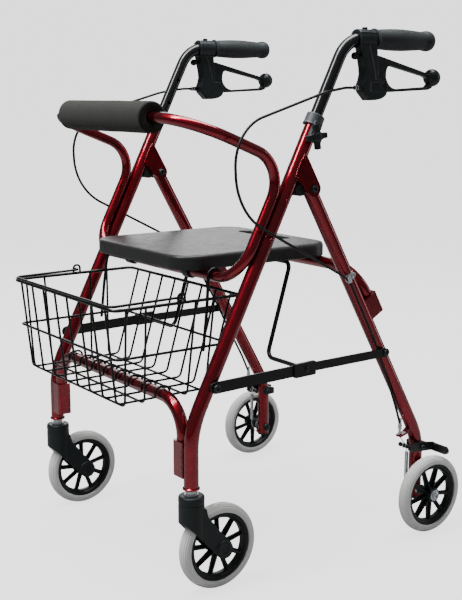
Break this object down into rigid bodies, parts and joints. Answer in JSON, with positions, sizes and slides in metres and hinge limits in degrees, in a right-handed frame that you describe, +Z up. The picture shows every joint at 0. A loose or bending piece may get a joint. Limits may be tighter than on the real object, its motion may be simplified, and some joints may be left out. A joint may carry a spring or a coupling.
{
  "type": "rollator walker",
  "caption": "Folding wheeled walking frame with a seat, padded backrest bar, wire basket, height-adjustable handlebars, loop brake levers, swivelling front wheels and braked rear wheels.",
  "frame": {"origin": "On the floor, midway between the two side frames and about midway between the front and rear wheel axles.", "axes": "+X points to the user's left, -Y points forward (the way it is pushed), +Z points up."},
  "size_m": [0.6162, 0.7194, 0.9572],
  "materials": {
    "red_paint": "gloss",
    "black_paint": "gloss",
    "black_wire": "satin",
    "foam": "matte",
    "black_rubber": "matte",
    "grey_plastic": "satin",
    "black_plastic": "satin",
    "seat_plastic": "satin",
    "steel": "satin",
    "black_steel": "satin",
    "grey_tyre": "matte",
    "rim_plastic": "satin"
  },
  "bodies": {
    "front_frame": {"main_tube_left": "red_paint", "main_tube_right": "red_paint", "backrest_tube": "red_paint", "backrest_foam": "foam", "front_crossbar": "red_paint", "front_crossbar_sockets": "red_paint", "hinge_brackets": "red_paint", "hinge_stops": "black_rubber", "height_collars": "grey_plastic", "leg_sleeves": "red_paint", "frame_fasteners": "steel", "brake_cable_left": "black_plastic", "brake_cable_right": "black_plastic"},
    "rear_frame": {"rear_leg_left": "red_paint", "rear_leg_right": "red_paint", "rear_crossbar": "red_paint", "rear_crossbar_sockets": "red_paint", "leg_end_plugs": "black_plastic", "rear_axles": "steel", "rear_fasteners": "steel", "leg_lugs": "red_paint", "cable_fittings": "steel", "brake_spring_left": "steel", "brake_spring_right": "steel", "brake_wires": "steel"},
    "seat": {"seat_board": "seat_plastic", "seat_rivets": "black_steel", "seat_clips": "black_plastic"},
    "bail": {"seat_bail": "black_paint"},
    "front_struts_body": {"front_struts": "black_paint", "strut_channels": "black_paint"},
    "rear_struts_body": {"rear_struts": "black_paint"},
    "basket_body": {"basket": "black_wire"},
    "basket_handle_body": {"basket_handle": "black_wire"},
    "handlebar_left_body": {"handlebar_left": "black_paint", "grip_left": "black_rubber", "brake_housing_left": "black_plastic", "brake_hardware_left": "black_steel"},
    "lever_left": {"brake_lever_left": "black_plastic"},
    "knob_left": {"height_knob_left": "black_plastic"},
    "brake_arm_left_body": {"brake_arm_left": "black_steel"},
    "caster_left": {"caster_fork_left": "black_plastic", "caster_steel_left": "steel"},
    "front_wheel_left": {"front_tyre_left": "grey_tyre", "front_rim_left": "rim_plastic"},
    "rear_wheel_left": {"rear_tyre_left": "grey_tyre", "rear_rim_left": "rim_plastic"},
    "handlebar_right_body": {"handlebar_right": "black_paint", "grip_right": "black_rubber", "brake_housing_right": "black_plastic", "brake_hardware_right": "black_steel"},
    "lever_right": {"brake_lever_right": "black_plastic"},
    "knob_right": {"height_knob_right": "black_plastic"},
    "brake_arm_right_body": {"brake_arm_right": "black_steel"},
    "caster_right": {"caster_fork_right": "black_plastic", "caster_steel_right": "steel"},
    "front_wheel_right": {"front_tyre_right": "grey_tyre", "front_rim_right": "rim_plastic"},
    "rear_wheel_right": {"rear_tyre_right": "grey_tyre", "rear_rim_right": "rim_plastic"}
  },
  "joints": [
    {"name": "fold", "type": "hinge", "parent": "front_frame", "child": "rear_frame", "pos_m": [0, -0.0444, 0.6823], "axis": [-1, 0, 0], "range_deg": [0, 33], "deforming": ["brake_cable_left", "brake_cable_right"]},
    {"name": "front_strut_turn", "type": "hinge", "parent": "front_frame", "child": "front_struts_body", "pos_m": [0, -0.2557, 0.364], "axis": [1, 0, 0], "range_deg": [0, 47]},
    {"name": "rear_strut_turn", "type": "hinge", "parent": "rear_frame", "child": "rear_struts_body", "pos_m": [0, 0.13286, 0.369], "axis": [-1, 0, 0], "range_deg": [0, 36.7]},
    {"name": "seat_turn", "type": "hinge", "parent": "front_frame", "child": "seat", "pos_m": [0, -0.19447, 0.5335], "axis": [1, 0, 0], "range_deg": [0, 52.2]},
    {"name": "bail_turn", "type": "hinge", "parent": "seat", "child": "bail", "pos_m": [0, -0.012, 0.5384], "axis": [-1, 0, 0], "range_deg": [0, 48.5]},
    {"name": "basket_lift", "type": "slide", "parent": "front_frame", "child": "basket_body", "axis": [0, 0, 1], "range_m": [0, 0.02]},
    {"name": "basket_handle_turn", "type": "hinge", "parent": "basket_body", "child": "basket_handle_body", "pos_m": [0, -0.27, 0.5046], "axis": [-1, 0, 0], "range_deg": [0, 85]},
    {"name": "handlebar_left_slide", "type": "slide", "parent": "front_frame", "child": "handlebar_left_body", "axis": [0, 0.454, 0.891], "range_m": [-0.1, 0.05], "deforming": ["brake_cable_left"]},
    {"name": "lever_left_squeeze", "type": "hinge", "parent": "handlebar_left_body", "child": "lever_left", "pos_m": [0.252, 0.112, 0.856], "axis": [1, 0, 0], "range_deg": [0, 11], "stiffness_Nm_per_rad": 2, "springref_deg": -11.46},
    {"name": "knob_left_turn", "type": "hinge", "parent": "front_frame", "child": "knob_left", "pos_m": [0.2641, -0.04832, 0.771], "axis": [1, 0, 0], "range_deg": [0, 360]},
    {"name": "brake_arm_left_rock", "type": "hinge", "parent": "rear_frame", "child": "brake_arm_left_body", "pos_m": [0.247, 0.238, 0.164], "axis": [1, 0, 0], "range_deg": [-9, 0], "deforming": ["brake_spring_left", "brake_wires"]},
    {"name": "caster_left_swivel", "type": "hinge", "parent": "front_frame", "child": "caster_left", "pos_m": [0.247, -0.292, 0.18], "axis": [0, 0, 1], "continuous": true},
    {"name": "front_wheel_left_spin", "type": "hinge", "parent": "caster_left", "child": "front_wheel_left", "pos_m": [0.247, -0.239, 0.076], "axis": [1, 0, 0], "continuous": true},
    {"name": "rear_wheel_left_spin", "type": "hinge", "parent": "rear_frame", "child": "rear_wheel_left", "pos_m": [0.2875, 0.237, 0.076], "axis": [1, 0, 0], "continuous": true},
    {"name": "handlebar_right_slide", "type": "slide", "parent": "front_frame", "child": "handlebar_right_body", "axis": [0, 0.454, 0.891], "range_m": [-0.1, 0.05], "deforming": ["brake_cable_right"]},
    {"name": "lever_right_squeeze", "type": "hinge", "parent": "handlebar_right_body", "child": "lever_right", "pos_m": [-0.252, 0.112, 0.856], "axis": [1, 0, 0], "range_deg": [0, 11], "stiffness_Nm_per_rad": 2, "springref_deg": -11.46},
    {"name": "knob_right_turn", "type": "hinge", "parent": "front_frame", "child": "knob_right", "pos_m": [-0.2641, -0.04832, 0.771], "axis": [1, 0, 0], "range_deg": [0, 360]},
    {"name": "brake_arm_right_rock", "type": "hinge", "parent": "rear_frame", "child": "brake_arm_right_body", "pos_m": [-0.247, 0.238, 0.164], "axis": [1, 0, 0], "range_deg": [-9, 0], "deforming": ["brake_spring_right", "brake_wires"]},
    {"name": "caster_right_swivel", "type": "hinge", "parent": "front_frame", "child": "caster_right", "pos_m": [-0.247, -0.292, 0.18], "axis": [0, 0, 1], "continuous": true},
    {"name": "front_wheel_right_spin", "type": "hinge", "parent": "caster_right", "child": "front_wheel_right", "pos_m": [-0.247, -0.239, 0.076], "axis": [1, 0, 0], "continuous": true},
    {"name": "rear_wheel_right_spin", "type": "hinge", "parent": "rear_frame", "child": "rear_wheel_right", "pos_m": [-0.2875, 0.237, 0.076], "axis": [1, 0, 0], "continuous": true}
  ],
  "couplings": [
    {"joint": "front_strut_turn", "follows": "fold", "ratio": 1.42},
    {"joint": "rear_strut_turn", "follows": "fold", "ratio": 1.109},
    {"joint": "seat_turn", "follows": "fold", "ratio": 1.577},
    {"joint": "bail_turn", "follows": "fold", "ratio": 1.464},
    {"joint": "brake_arm_left_rock", "follows": "lever_left_squeeze", "ratio": -0.8},
    {"joint": "brake_arm_right_rock", "follows": "lever_right_squeeze", "ratio": -0.8}
  ]
}
